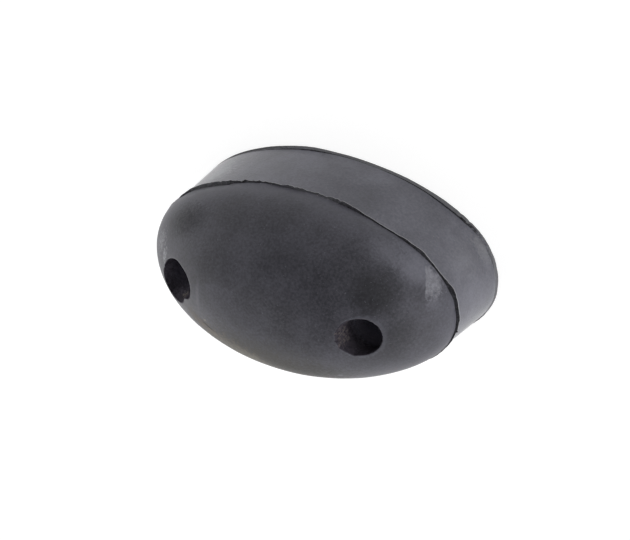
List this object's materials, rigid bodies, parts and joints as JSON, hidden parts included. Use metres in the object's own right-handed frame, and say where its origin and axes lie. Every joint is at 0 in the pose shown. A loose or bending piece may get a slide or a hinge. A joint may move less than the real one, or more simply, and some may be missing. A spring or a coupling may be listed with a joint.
{
  "type": "rubber buffer",
  "caption": "Oval moulded rubber buffer with a domed front, a flat back and a deep counterbored screw hole towards each end of its long axis.",
  "frame": {"origin": "centre of the flat back face, on the surface the buffer is screwed to", "axes": "+X along the oval's long axis, through both screw holes; +Y across the oval; +Z out of the domed front"},
  "size_m": [0.1008, 0.0568, 0.05],
  "materials": {
    "black_rubber": "matt moulded rubber with a faint grey bloom"
  },
  "bodies": {
    "root": {"buffer_body": "black_rubber"}
  },
  "joints": []
}
